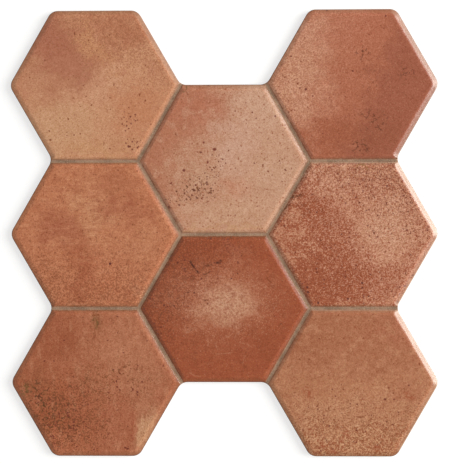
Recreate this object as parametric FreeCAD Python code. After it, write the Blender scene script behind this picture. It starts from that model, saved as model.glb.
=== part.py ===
"""One pressed ceramic floor plate, lying face up, with its joints filled.

The plate is a single pressing. Its face is moulded as eight hexagonal fields, in columns of three,
two and three, so that it looks like eight laid tiles. Each field has a flat face with a sloping
shoulder round it. Between the fields the shoulders run down into a narrow recessed joint, which
holds a grey grout. Round the outside the same shoulder runs down to the rim of the plate. The
outline is rounded where a field's corner points outwards, and filleted in every notch, where the
next plate's field fits in. The back has the square pockets that give the adhesive its grip.

Millimetres. +Z up, out of the face. +Y along the columns. The origin is on the bed, at the middle
of the plate.
"""

import FreeCAD
import Part
import math
import os
from FreeCAD import Vector

# The hexagonal fields
field_pitch = 150.0  # across the flats of one field, from joint middle to joint middle
fields_in_column = (3, 2, 3)  # from left to right; each column is half a field off the one beside it

# The plate
plate_thickness = 10.0  # bed to face
face_corner_radius = 4.5  # of the flat face, where a field's corner points outwards
notch_radius = 11.0  # outline, in the notches between two fields
bed_bevel = 0.8  # small bevel round the lower edge

# The sloping shoulder round each field
shoulder_width = 3.75  # in plan, beside a joint, from the joint's rim to the crease at the face
shoulder_drop = 1.4  # from the face down to the outline
crease_reach = 1.0  # of the rounding between the slope and the face, to each side of the crease
rim_bevel = 0.5  # takes the sharpness off the rim, between the slope and the side of the plate

# The recessed joints and the grout in them
joint_width = 3.5  # between the rims of two fields
joint_depth = 2.2  # from those rims down to the bottom of the joint
joint_draft = 12.0  # degrees, how far the sides of the joint lean back so that the mould lets go
grout_drop = 0.15  # from the rims down to the edges of the grout
grout_hollow = 0.35  # how far the middle of the tooled grout lies under its edges

# The fields are moulded as if laid by hand, so the joints that run crosswise lie a little too low
lower_joint_drop = 0.3
middle_joint_drop = 0.8
upper_left_joint_drop = 1.7
upper_right_joint_drop = 1.9

# The pockets in the back
pocket_depth = 0.8
pocket_side = 22.0
rib_width = 6.0  # between two pockets
bed_border = 7.0  # plain border between the outermost pockets and the outline

# Worked out from the sizes above
side_length = field_pitch / math.sqrt(3)  # of one field's hexagon
column_pitch = 1.5 * side_length
face_z = plate_thickness
slope_width = shoulder_width + joint_width / 2  # in plan, from the outline to the crease
shoulder_angle = math.atan2(shoulder_drop, slope_width)
corner_radius = face_corner_radius + slope_width + crease_reach
rim_z = face_z - shoulder_drop
joint_rim_z = face_z - shoulder_width * math.tan(shoulder_angle)
joint_floor_z = joint_rim_z - joint_depth
grout_edge_z = joint_rim_z - grout_drop
pocket_pitch = pocket_side + rib_width
crosswise_joint_drop = (  # column by column, from the bottom up
    (lower_joint_drop, upper_left_joint_drop),
    (middle_joint_drop,),
    (lower_joint_drop, upper_right_joint_drop),
)
cutter_clearance = 2.0  # how far a cutting shape stands outside what it cuts


def column_x(column):
    """Where the middle of a column lies."""
    return (column - (len(fields_in_column) - 1) / 2) * column_pitch


def field_centres():
    """The middle of each field, column by column."""
    centres = []
    for column, count in enumerate(fields_in_column):
        for row in range(count):
            centres.append(Vector(column_x(column), (row - (count - 1) / 2) * field_pitch, 0))
    return centres


def same_place(a, b):
    return a.distanceToPoint(b) < 0.01 * side_length


def field_sides():
    """Every side of every field's hexagon as (start, end), anticlockwise round its own field."""
    sides = []
    for centre in field_centres():
        angles = [math.radians(60 * k) for k in range(6)]
        corners = [centre + Vector(math.cos(a), math.sin(a), 0) * side_length for a in angles]
        sides += list(zip(corners, corners[1:] + corners[:1]))
    return sides


def is_shared(side, others):
    """True if one of the others is the same side, seen from the field beyond it."""
    return any(same_place(side[0], end) and same_place(side[1], start) for start, end in others)


def outline_corners():
    """The corners of the whole outline, anticlockwise. Its sides are those that only one field has."""
    sides = field_sides()
    outer = [side for side in sides if not is_shared(side, sides)]
    corners = [outer[0][0]]
    here = outer[0][1]
    while not same_place(here, corners[0]):
        corners.append(here)
        here = next(end for start, end in outer if same_place(start, here))
    return corners


def outline_corner_arcs(inset):
    """Every corner of the outline, moved inwards by inset, as (centre, arc start, middle, end)."""
    corners = outline_corners()
    arcs = []
    for k, corner in enumerate(corners):
        back = (corners[k - 1] - corner).normalize()
        ahead = (corners[(k + 1) % len(corners)] - corner).normalize()
        inwards = (back + ahead).normalize()
        half_angle = back.getAngle(ahead) / 2
        points_outwards = back.cross(ahead).z < 0
        radius = corner_radius if points_outwards else notch_radius
        reach = radius / math.tan(half_angle)
        centre = corner + inwards * (radius / math.sin(half_angle))
        scale = 1 - inset / radius if points_outwards else 1 + inset / radius
        ends = [corner + back * reach, centre - inwards * radius, corner + ahead * reach]
        arcs.append([centre] + [centre + (end - centre) * scale for end in ends])
    return arcs


def outline_wire(inset=0.0):
    """The outline on the bed, moved inwards by inset, with its rounded corners and filleted notches."""
    arcs = outline_corner_arcs(inset)
    edges = []
    for k, (centre, start, middle, end) in enumerate(arcs):
        edges.append(Part.Arc(start, middle, end).toShape())
        edges.append(Part.LineSegment(end, arcs[(k + 1) % len(arcs)][1]).toShape())
    return Part.Wire(edges)


def laid_place(point):
    """Where a corner of the joint net really lies, with its crosswise joint off the grid."""
    for column, drops in enumerate(crosswise_joint_drop):
        for row, drop in enumerate(drops):
            middle = Vector(column_x(column), (row - (len(drops) - 1) / 2) * field_pitch, 0)
            for end in (-side_length / 2, side_length / 2):
                if same_place(point, middle + Vector(end, 0, 0)):
                    return point - Vector(0, drop, 0)
    return point


def joint_lines():
    """The middle line of every joint, once each, as (start, end). A joint that ends in a notch is
    drawn on until it has left the plate."""
    sides = field_sides()
    centres = field_centres()
    lines = []
    for k, side in enumerate(sides):
        if not is_shared(side, sides[k + 1 :]):
            continue
        start, end = (laid_place(point) for point in side)
        past = (end - start).normalize() * (notch_radius + cutter_clearance)
        fields_met = [sum(c.distanceToPoint(p) < 1.1 * side_length for c in centres) for p in side]
        lines.append((
            start if fields_met[0] == 3 else start - past,
            end if fields_met[1] == 3 else end + past,
        ))
    return lines


def crease_points():
    """The rounded crease as (end of the slope, middle, start of the face), seen along a shoulder.

    Each point is (distance in from the outline or from the middle of a joint, height).
    """
    radius = crease_reach / math.tan(shoulder_angle / 2)
    slope_end = (
        slope_width - crease_reach * math.cos(shoulder_angle),
        face_z - crease_reach * math.sin(shoulder_angle),
    )
    face_start = (slope_width + crease_reach, face_z)
    middle = (
        face_start[0] - radius * math.sin(shoulder_angle / 2),
        face_z - radius * (1 - math.cos(shoulder_angle / 2)),
    )
    return [slope_end, middle, face_start]


def closed_face(entries, origin, across):
    """A flat upright face from the entries of a section, in order round it.

    Each entry is a (distance along across, height) point, or a list of three that make an arc.
    """

    def place(point):
        return origin + across * point[0] + Vector(0, 0, point[1])

    stretches = [[place(p) for p in entry] if len(entry) == 3 else [place(entry)] for entry in entries]
    edges = []
    for k, stretch in enumerate(stretches):
        following = stretches[(k + 1) % len(stretches)][0]
        if len(stretch) == 3:
            edges.append(Part.Arc(*stretch).toShape())
        if not stretch[-1].isEqual(following, 1e-6):
            edges.append(Part.LineSegment(stretch[-1], following).toShape())
    return Part.Face(Part.Wire(edges))


def with_mirror_image(right_half):
    """A section from its right half, from the bottom up, and its mirror image, in order round it."""
    left_half = []
    for entry in reversed(right_half):
        if len(entry) == 3:
            left_half.append([(-x, z) for x, z in reversed(entry)])
        else:
            left_half.append((-entry[0], entry[1]))
    return right_half + left_half


def half_joint_width(z):
    """Half the width of the joint between its leaning sides, at a height."""
    return joint_width / 2 - (joint_rim_z - z) * math.tan(math.radians(joint_draft))


def joint_section():
    """Right half of what a joint and the shoulders beside it take out of the plate."""
    crease = crease_points()
    return [
        (half_joint_width(joint_floor_z), joint_floor_z),
        (joint_width / 2, joint_rim_z),
        crease,
        (crease[-1][0], face_z + cutter_clearance),
    ]


def grout_section():
    """Right half of the grout in a joint, up to the tooled hollow along its top."""
    half_width = half_joint_width(grout_edge_z)
    radius = (half_width**2 + grout_hollow**2) / (2 * grout_hollow)
    half_way = half_width / 2
    sag = math.sqrt(radius**2 - half_way**2) - (radius - grout_hollow)
    middle_z = grout_edge_z - grout_hollow
    hollow = [(half_width, grout_edge_z), (half_way, grout_edge_z - sag), (0.0, middle_z)]
    return [(half_joint_width(joint_floor_z), joint_floor_z), hollow]


def along_joints(right_half):
    """The section run along every joint. Its square ends fill the place where three joints meet."""
    solids = []
    for start, end in joint_lines():
        along = (end - start).normalize()
        across = Vector(-along.y, along.x, 0)
        section = with_mirror_image(right_half)
        solids.append(closed_face(section, start, across).extrude(end - start))
    return solids


def edge_section(start, inwards):
    """The band of the plate along its outline, seen along it: bed bevel, side, rim bevel, slope, crease."""
    crease = crease_points()
    slope_start = (rim_bevel, rim_z + rim_bevel * math.tan(shoulder_angle))
    outer_side = [(bed_bevel, 0.0), (0.0, bed_bevel), (0.0, rim_z - rim_bevel), slope_start]
    return closed_face(outer_side + [crease, (crease[-1][0], 0.0)], start, inwards)


def edge_band():
    """The band all round the plate: straight pieces along its sides, turned pieces at its corners."""
    arcs = outline_corner_arcs(0.0)
    up = Vector(0, 0, 1)
    pieces = []
    for k, (centre, start, middle, end) in enumerate(arcs):
        ahead = (arcs[(k + 1) % len(arcs)][1] - end).normalize()
        inwards = up.cross(ahead)
        section = edge_section(end, inwards)
        pieces.append(section.extrude(arcs[(k + 1) % len(arcs)][1] - end))
        turn = math.degrees((start - centre).getAngle(end - centre))
        clockwise = (end - start).cross(centre - start).z < 0
        pieces.append(section.revolve(centre, up, turn if clockwise else -turn))
    return pieces


def plate_blank():
    """The plate with its edge all round, before the joints and pockets are cut."""
    core = Part.Face(outline_wire(slope_width + crease_reach)).extrude(Vector(0, 0, plate_thickness))
    return core.fuse(edge_band()).removeSplitter()


def inside_border(point):
    """True if a point on the bed is inside the outline and clear of the plain border."""
    corners = outline_corners()
    crossings = 0
    for a, b in zip(corners, corners[1:] + corners[:1]):
        along = b - a
        share = max(0.0, min(1.0, (point - a).dot(along) / along.dot(along)))
        if point.distanceToPoint(a + along * share) < bed_border:
            return False
        if (a.y > point.y) != (b.y > point.y):
            crossings += point.x < a.x + (point.y - a.y) / along.y * along.x
    return crossings % 2 == 1


def pocket(x, y):
    """One square pocket, cut up into the bed."""
    low = Vector(x - pocket_side / 2, y - pocket_side / 2, -cutter_clearance)
    return Part.makeBox(pocket_side, pocket_side, pocket_depth + cutter_clearance, low)


def pockets():
    """Every pocket that fits whole inside the border. Ribs cross under the middle of the plate."""
    columns = math.ceil(len(fields_in_column) * side_length / pocket_pitch)
    rows = math.ceil(max(fields_in_column) * field_pitch / 2 / pocket_pitch)
    half = pocket_side / 2
    found = []
    for column in range(-columns, columns):
        for row in range(-rows, rows):
            x = (column + 0.5) * pocket_pitch
            y = (row + 0.5) * pocket_pitch
            if all(inside_border(Vector(x + i * half, y + j * half, 0)) for i in (-1, 1) for j in (-1, 1)):
                found.append(pocket(x, y))
    return found


def tile_plate():
    return plate_blank().cut(along_joints(joint_section()) + pockets())


def joint_grout():
    """The grout in all the joints, one connected net, cut off flush with the outer shoulder."""
    bars = along_joints(grout_section())
    return bars[0].fuse(bars[1:]).common(plate_blank()).removeSplitter()


os.makedirs("parts", exist_ok=True)
for name, make in (("tile_plate", tile_plate), ("joint_grout", joint_grout)):
    shape = make()
    solids = shape.Solids
    facets = len(shape.tessellate(0.1)[1])
    print(name, len(solids), "solids, valid", shape.isValid(), round(shape.Volume / 1000, 1), "cm3", facets)
    print(shape.BoundBox)
    (solids[0] if len(solids) == 1 else shape).exportStep("parts/" + name + ".step")
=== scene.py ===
"""Looks for a pressed ceramic floor plate with eight terracotta-coloured hexagonal fields.

The plate and its grout are remade here as finer meshes with the same sizes as the solids: the face
gets the slight waviness, rubbed edges and rough grout of the real thing, and every field its own
procedural colouring, with painted highlights and painted shade on the shoulders. Lengths in the mesh
code are millimetres in the row's frame.
"""

import math

import bpy
import numpy as np
from mathutils import Matrix, Vector, noise
from mathutils.geometry import delaunay_2d_cdt


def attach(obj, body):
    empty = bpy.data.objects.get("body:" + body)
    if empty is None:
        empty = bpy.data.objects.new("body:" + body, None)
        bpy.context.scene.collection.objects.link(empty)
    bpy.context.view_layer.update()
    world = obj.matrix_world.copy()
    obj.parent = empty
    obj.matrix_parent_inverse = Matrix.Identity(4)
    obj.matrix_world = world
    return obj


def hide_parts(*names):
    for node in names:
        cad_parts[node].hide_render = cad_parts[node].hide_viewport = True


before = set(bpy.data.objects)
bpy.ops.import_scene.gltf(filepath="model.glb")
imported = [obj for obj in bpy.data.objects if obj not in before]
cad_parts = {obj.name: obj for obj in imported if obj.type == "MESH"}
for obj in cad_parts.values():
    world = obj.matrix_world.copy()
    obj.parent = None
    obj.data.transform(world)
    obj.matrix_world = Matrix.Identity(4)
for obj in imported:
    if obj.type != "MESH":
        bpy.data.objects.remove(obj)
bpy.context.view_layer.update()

MM = 0.001

# Sizes of the plate, as in the solids
PITCH = 150.0
SIDE = PITCH / math.sqrt(3)
COLUMNS = (3, 2, 3)
THICKNESS = 10.0
SHOULDER_DROP = 1.4
SLOPE_WIDTH = 5.5
CREASE_REACH = 1.0
CORNER_RADIUS = 11.0
NOTCH_RADIUS = 11.0
BED_BEVEL = 0.8
JOINT_HALF = 1.75
JOINT_DEPTH = 2.2
JOINT_DRAFT = math.radians(12.0)
POCKET_SIDE = 22.0
POCKET_PITCH = 28.0
POCKET_DEPTH = 0.8
POCKET_LEAN = 1.0
BED_BORDER = 7.0
JOINT_DROPS = ((0.3, 1.7), (0.8,), (0.3, 1.9))

COS30 = math.cos(math.radians(30))
SLOPE = math.atan2(SHOULDER_DROP, SLOPE_WIDTH)
RIM_Z = THICKNESS - SHOULDER_DROP
JOINT_RIM_Z = RIM_Z + JOINT_HALF * math.tan(SLOPE)
FLOOR_Z = JOINT_RIM_Z - JOINT_DEPTH
FLOOR_HALF = JOINT_HALF - JOINT_DEPTH * math.tan(JOINT_DRAFT)
CREASE_RADIUS = CREASE_REACH / math.tan(SLOPE / 2)
RIM_RADIUS = 0.45
KEPT_IN = 0.04  # the outline lies this far inside the solid's, so that the mesh never stands proud
SHEEN = 0.017  # what the glaze's reflection adds to every linear channel

# Waves of the face and the grout, each (height, size across, seed)
EDGE_WOBBLE = ((0.22, 16.0, 1), (0.05, 6.0, 2))
FACE_DENTS = ((0.05, 38.0, 3), (0.014, 9.0, 4))
GROUT_WAVES = ((0.1, 9.0, 11), (0.05, 2.4, 12))
GROUT_HOLLOW = 0.28
GROUT_GRAIN = 0.09

# How closely the face is meshed
FACE_STEP = 1.75
EDGE_STEP = 1.6
ARC_STEPS = 10
GRID_X, GRID_Y = 216, 226  # half the size of the grid of points, a little more than the plate's
CLEARANCE = 0.35  # least room between two rows of points
NEAR_CORNER = 5.0  # a joint that ends this near to a notch's corner runs out there
LEAST_TURN = 1.6  # degrees between a joint's edge and the next point of the arc
MORE_STEPS = 8  # steps that a row of points goes on past an open end
SHOULDER_RINGS = (0.1, 0.34, 1.1, 2.3, 3.4, 4.4, 4.9, 5.4, 5.9, 6.4, 7.4)
GROUT_STEP = 0.8
SIDE_LOOPS = ((0.0, 6.4), (0.0, 3.6), (0.0, BED_BEVEL), (BED_BEVEL, 0.0))  # (inset, height), from the top
SIDE_ROWS = len(SIDE_LOOPS)
GROUT_REACH = 2.7  # how far the grout runs under the shoulders, from a joint's middle
GROUT_OFFSETS = (0.0, 0.55, 1.1, 1.6, 2.1, GROUT_REACH)
GROUT_END = 0.22  # how far in from the outline the second points at a joint's end lie
LONGEST_SPAN = 4.0  # longer triangles of grout would bridge two joints
RUN_OUT = 30.0  # how far a joint's line still counts past an open end
OUTLINE_ZONE = 12.0  # within this of the outline, the grout's points come from its rows and ends alone


# The plan of the plate


def column_x(column):
    return (column - (len(COLUMNS) - 1) / 2) * 1.5 * SIDE


CENTRES = np.array([
    (column_x(c), (r - (n - 1) / 2) * PITCH) for c, n in enumerate(COLUMNS) for r in range(n)
])
FIELD_NAMES = ("L3", "L2", "L1", "M2", "M1", "R3", "R2", "R1")


def near(a, b):
    return math.hypot(a[0] - b[0], a[1] - b[1]) < 0.01 * SIDE


def line_frame(a, b):
    """(length, direction, direction turned left) of the line from a to b."""
    length = math.dist(a, b)
    along = np.subtract(b, a) / length
    return length, along, np.array((-along[1], along[0]))


def laid_place(point):
    """Where a corner of the joint net lies, once its crosswise joint has its drop."""
    for column, drops in enumerate(JOINT_DROPS):
        for row, drop in enumerate(drops):
            y = (row - (len(drops) - 1) / 2) * PITCH
            for side in (-1, 1):
                if near(point, (column_x(column) + side * SIDE / 2, y)):
                    return (point[0], point[1] - drop)
    return tuple(point)


def hexagon(centre):
    turns = [math.radians(60 * k) for k in range(6)]
    return [(centre[0] + SIDE * math.cos(t), centre[1] + SIDE * math.sin(t)) for t in turns]


def plan():
    """The outline's corners, anticlockwise, and the joints' middle lines as (start, end, ends open)."""
    sides = []
    for centre in CENTRES:
        corners = hexagon(centre)
        sides += list(zip(corners, corners[1:] + corners[:1]))
    outer = []
    joints = []
    for k, (a, b) in enumerate(sides):
        twins = [m for m, (c, d) in enumerate(sides) if near(a, d) and near(b, c)]
        if not twins:
            outer.append((a, b))
        elif twins[0] > k:
            met = [sum(math.dist(c, p) < 1.1 * SIDE for c in CENTRES) for p in (a, b)]
            joints.append((laid_place(a), laid_place(b), met[0] < 3, met[1] < 3))
    corners = [outer[0][0]]
    here = outer[0][1]
    while not near(here, corners[0]):
        corners.append(here)
        here = next(b for a, b in outer if near(a, here))
    return np.array(corners), joints


CORNERS, JOINTS = plan()


def corner_arcs():
    """(centre, radius, sign, direction to the arc's middle) of every outline corner. sign is +1 where
    the corner points outwards and -1 in a notch."""
    arcs = []
    for k, corner in enumerate(CORNERS):
        back = CORNERS[k - 1] - corner
        ahead = CORNERS[(k + 1) % len(CORNERS)] - corner
        back = back / np.linalg.norm(back)
        ahead = ahead / np.linalg.norm(ahead)
        sign = 1 if back[0] * ahead[1] - back[1] * ahead[0] < 0 else -1
        inwards = (back + ahead) / np.linalg.norm(back + ahead)
        radius = CORNER_RADIUS if sign > 0 else NOTCH_RADIUS
        centre = corner + inwards * radius / COS30
        arcs.append((centre, radius - sign * KEPT_IN, sign, -inwards))
    return arcs


ARCS = corner_arcs()


def outline_stations():
    """Points of the outline as (arc index, turn from the arc's start, None) or (line start arc, None,
    share of the line), anticlockwise, with extra ones where a joint's edges run out."""
    stations = []
    for k, (centre, radius, sign, middle) in enumerate(ARCS):
        turns = [-30 + 60 * i / ARC_STEPS for i in range(ARC_STEPS + 1)]
        for a, b, open_a, open_b in JOINTS:
            for p, is_open, far in ((a, open_a, b), (b, open_b, a)):
                if sign < 0 and is_open and math.dist(p, CORNERS[k]) < NEAR_CORNER:
                    _, along, across = line_frame(p, far)
                    start = math.degrees(math.atan2(middle[1], middle[0]))
                    for offset in (-JOINT_HALF, -FLOOR_HALF, FLOOR_HALF, JOINT_HALF):
                        on_line = p + across * offset - centre
                        b_half = on_line @ along
                        root = math.sqrt(b_half**2 - on_line @ on_line + radius**2)
                        hit = on_line + along * min((-b_half - root, -b_half + root), key=abs)
                        turn = math.degrees(math.atan2(hit[1], hit[0])) - start
                        turn = (turn + 180) % 360 - 180
                        turns = [t for t in turns if abs(t + turn) > LEAST_TURN] + [-turn]
        for t in sorted(turns):
            stations.append((k, t, None))
        length = math.dist(CORNERS[k], CORNERS[(k + 1) % len(CORNERS)])
        length -= 2 * radius / math.tan(math.radians(60))
        count = math.ceil(length / EDGE_STEP)
        stations += [(k, None, i / count) for i in range(1, count)]
    return stations


STATIONS = outline_stations()


def arc_point(k, turn, inset):
    """A point of corner k's arc, turn degrees from its middle, going on anticlockwise round the plate."""
    centre, radius, sign, middle = ARCS[k]
    angle = math.atan2(middle[1], middle[0]) + math.radians(turn * sign)
    r = radius - inset * sign
    return centre + r * np.array((math.cos(angle), math.sin(angle)))


def ring(inset):
    """The outline moved inwards, as an array of its stations."""
    points = []
    for k, turn, share in STATIONS:
        if share is None:
            points.append(arc_point(k, turn, inset))
        else:
            a = arc_point(k, 30, inset)
            b = arc_point((k + 1) % len(ARCS), -30, inset)
            points.append(a + (b - a) * share)
    return np.array(points)


def outline_distance(points):
    """How far each point is from the outline."""
    best = np.full(len(points), 1e9)
    for k, (centre, radius, sign, middle) in enumerate(ARCS):
        v = points - centre
        far = np.linalg.norm(v, axis=1)
        in_sector = v @ middle >= far * COS30 - 1e-9
        best = np.where(in_sector, np.minimum(best, abs(far - radius)), best)
        a = arc_point(k, 30, 0)
        b = arc_point((k + 1) % len(ARCS), -30, 0)
        along = (b - a) / np.linalg.norm(b - a)
        v = points - a
        t = v @ along
        beside = (t >= 0) & (t <= np.linalg.norm(b - a))
        off = abs(v[:, 0] * along[1] - v[:, 1] * along[0])
        best = np.where(beside, np.minimum(best, off), best)
    return best


def is_inside(points):
    """True for the points inside the rounded outline."""
    inside = np.zeros(len(points), bool)
    for centre in CENTRES:
        v = points - centre
        reach = [abs(v[:, 0] * math.cos(t) + v[:, 1] * math.sin(t)) for t in np.radians((30, 90, 150))]
        inside |= np.max(reach, axis=0) <= PITCH / 2
    for centre, radius, sign, middle in ARCS:
        v = points - centre
        far = np.linalg.norm(v, axis=1)
        in_corner = (v @ middle >= far * COS30) & (far < 1.2 * radius)
        if sign > 0:
            inside &= ~(in_corner & (far > radius))
        else:
            inside |= in_corner & (far >= radius)
    return inside


def joint_distances(points):
    """How far each point is from the middle line of each joint, one row per joint. Beyond the end
    where three joints meet a joint doesn't count."""
    rows = []
    for a, b, open_a, open_b in JOINTS:
        length, along, _ = line_frame(a, b)
        v = points - np.array(a)
        t = v @ along
        beside = (t >= (-RUN_OUT if open_a else -1e-6)) & (t <= length + (RUN_OUT if open_b else 1e-6))
        rows.append(np.where(beside, abs(v[:, 0] * along[1] - v[:, 1] * along[0]), 1e9))
    return np.array(rows)


def joint_distance(points):
    return joint_distances(points).min(axis=0)


def field_of(points):
    """Which field each point belongs to."""
    scores = []
    for centre in CENTRES:
        corners = [laid_place(c) for c in hexagon(centre)]
        depth = []
        for a, b in zip(corners, corners[1:] + corners[:1]):
            _, along, _ = line_frame(a, b)
            v = points - np.array(a)
            depth.append(along[0] * v[:, 1] - along[1] * v[:, 0])
        scores.append(np.min(depth, axis=0))
    return np.argmax(scores, axis=0)


# Heights of the face


def shoulder_height(d):
    """Height of the shoulder at a distance in from the outline or from a joint's middle."""
    crease_start = SLOPE_WIDTH - CREASE_REACH * math.cos(SLOPE)
    crease_end = SLOPE_WIDTH + CREASE_REACH
    slope = RIM_Z + d * math.tan(SLOPE)
    along = np.clip(crease_end - d, 0, CREASE_RADIUS)
    crease = THICKNESS - CREASE_RADIUS + np.sqrt(CREASE_RADIUS**2 - along**2)
    return np.where(d < crease_start, slope, np.where(d < crease_end, crease, THICKNESS))


def rim_height(d):
    """The same with the rim rounded off towards the plate's side."""
    reach = RIM_RADIUS * (1 - math.sin(SLOPE))
    middle_z = RIM_Z + reach * math.tan(SLOPE) - RIM_RADIUS * math.cos(SLOPE)
    arc = middle_z + np.sqrt(np.clip(RIM_RADIUS**2 - (RIM_RADIUS - d) ** 2, 0, None))
    return np.where(d < reach, arc, shoulder_height(d))


def joint_height(d):
    """The same beside a joint, down its leaning side to its bottom."""
    wall = FLOOR_Z + (d - FLOOR_HALF) / (JOINT_HALF - FLOOR_HALF) * JOINT_DEPTH
    return np.where(d >= JOINT_HALF, shoulder_height(d), np.clip(wall, FLOOR_Z, JOINT_RIM_Z))


def bumps(points, size, seed, octaves=2):
    """Smooth random heights from about -1 to 1, with bumps about size across."""
    place = Vector((seed * 17.3, seed * 5.1, seed * 9.7))
    places = [Vector((x / size, y / size, 0)) + place for x, y in points]
    return np.array([noise.fractal(p, 1.0, 2.0, octaves) for p in places])


def waves(points, kinds, lift=0):
    """The sum of several kinds of bumps, each (height, size, seed), on a ground raised by lift."""
    return sum(height * (lift + bumps(points, size, seed)) for height, size, seed in kinds)


def smooth(x, low, high):
    t = np.clip((x - low) / (high - low), 0, 1)
    return t * t * (3 - 2 * t)


def face_heights(points):
    """Height of the face at each point, and how far the point is from the nearest edge or joint and
    from the nearest joint."""
    outer = outline_distance(points)
    joint = joint_distance(points)
    wobble = waves(points, EDGE_WOBBLE)
    hold = smooth(np.minimum(outer, joint - JOINT_HALF), 0.3, 3.0)
    d_outer = np.clip(outer + wobble * hold, 0, None)
    d_joint = np.where(joint > JOINT_HALF, np.maximum(joint + wobble * hold, JOINT_HALF), joint)
    heights = np.minimum(rim_height(d_outer), joint_height(d_joint))
    dents = waves(points, FACE_DENTS, 1)
    return heights - dents * (0.25 + 0.75 * hold), np.minimum(outer, joint), joint


# The points of the face


def mitre_points():
    """Points on the lines where two shoulders meet, one for each shoulder ring."""
    found = []
    nodes = {}
    for a, b, open_a, open_b in JOINTS:
        for p, far, is_open in ((a, b, open_a), (b, a, open_b)):
            if not is_open:
                key = (round(p[0], 3), round(p[1], 3))
                nodes.setdefault(key, []).append(math.atan2(far[1] - p[1], far[0] - p[0]))
            else:
                k = min(range(len(CORNERS)), key=lambda i: math.dist(p, CORNERS[i]))
                centre, radius, sign, middle = ARCS[k]
                _, along, across = line_frame(p, far)
                for t in SHOULDER_RINGS:
                    for offset in {max(t, JOINT_HALF), -max(t, JOINT_HALF)}:
                        on_line = np.array(p) + across * offset - centre
                        half = on_line @ along
                        inner = half**2 - on_line @ on_line + (radius + t) ** 2
                        if inner > 0:
                            found.append(on_line + along * (-half + math.sqrt(inner)) + centre)
    for (x, y), angles in nodes.items():
        angles.sort()
        for a, b in zip(angles, angles[1:] + [angles[0] + 2 * math.pi]):
            half = (b - a) / 2
            for t in (FLOOR_HALF, JOINT_HALF) + tuple(r for r in SHOULDER_RINGS if r > JOINT_HALF):
                reach = t / math.sin(half)
                found.append(np.array((x + reach * math.cos(a + half), y + reach * math.sin(a + half))))
    return np.array(found)


def joint_rows(offsets, step):
    """Points beside every joint at these distances, on both sides, clear of the other joints."""
    found = []
    for j, (a, b, open_a, open_b) in enumerate(JOINTS):
        length, along, across = line_frame(a, b)
        count = round(length / step)
        shares = np.arange(-MORE_STEPS if open_a else 0, count + 1 + (MORE_STEPS if open_b else 0)) / count
        for d in offsets:
            for side in (-1, 1) if d else (1,):
                row = np.array(a) + np.outer(shares * length, along) + across * d * side
                others = np.delete(joint_distances(row), j, axis=0).min(axis=0)
                clear = min(max(d, 0.3) + CLEARANCE, max(d, 0.3) * 1.4)
                room = d + CLEARANCE if d > JOINT_HALF else 0.25
                found.append(row[(others > clear) & is_inside(row) & (outline_distance(row) > room)])
    return np.vstack(found)


def face_points():
    """The outline's own points first, then every other point of the face."""
    loop = ring(0.0)
    parts = []
    for inset in SHOULDER_RINGS:
        band = ring(inset)
        parts.append(band[joint_distance(band) > max(inset, JOINT_HALF) + CLEARANCE])
    offsets = (0.0, FLOOR_HALF, JOINT_HALF) + tuple(r for r in SHOULDER_RINGS if r > JOINT_HALF)
    parts.append(joint_rows(offsets, EDGE_STEP))
    parts.append(mitre_points())
    rows = np.arange(-GRID_Y, GRID_Y, FACE_STEP * COS30)
    columns = np.arange(-GRID_X, GRID_X, FACE_STEP)
    grid = np.array([(x + FACE_STEP / 2 * (i % 2), y) for i, y in enumerate(rows) for x in columns])
    grid = grid[is_inside(grid)]
    noise.seed_set(1)
    shake = np.array([noise.noise_vector(Vector((x * 0.9, y * 0.9, 3.0)))[:2] for x, y in grid])
    away = np.minimum(outline_distance(grid), joint_distance(grid))
    parts.append((grid + shake * 0.25 * FACE_STEP)[away > SHOULDER_RINGS[-1] + 0.9])
    return loop, np.vstack(parts)


def pocket_corners():
    """The low corner of every pocket in the back, by the same rule as in the solids."""
    found = []
    half = POCKET_SIDE / 2
    reach = math.ceil(PITCH * 1.5 / POCKET_PITCH)
    for i in range(-reach, reach):
        for j in range(-reach, reach):
            x, y = (i + 0.5) * POCKET_PITCH, (j + 0.5) * POCKET_PITCH
            tips = np.array([(x + u * half, y + v * half) for u in (-1, 1) for v in (-1, 1)])
            clear = np.full(4, 1e9)
            for a, b in zip(CORNERS, np.roll(CORNERS, -1, axis=0)):
                along = b - a
                share = np.clip((tips - a) @ along / (along @ along), 0, 1)
                clear = np.minimum(clear, np.linalg.norm(tips - a - np.outer(share, along), axis=1))
            if (clear >= BED_BORDER).all() and is_inside(tips).all():
                found.append((x - half, y - half))
    return found


def make_object(name, verts, faces):
    mesh = bpy.data.meshes.new(name)
    mesh.from_pydata([(x * MM, y * MM, z * MM) for x, y, z in verts], [], faces)
    mesh.validate()
    mesh.update()
    obj = bpy.data.objects.new(name, mesh)
    bpy.context.scene.collection.objects.link(obj)
    return obj


def triangulate(points, count, squares=0):
    """Triangles inside the closed loop that the first count points make, along the edges of the squares
    whose corners come next: (points, triangles, the given points that each point stands for)."""
    edges = [(k, (k + 1) % count) for k in range(count)]
    for first in range(count, count + 4 * squares, 4):
        edges += [(first + k, first + (k + 1) % 4) for k in range(4)]
    result = delaunay_2d_cdt([Vector(p) for p in points], edges, [list(range(count))], 1, 1e-6)
    return np.array([tuple(v) for v in result[0]]), result[2], result[3]


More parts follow.
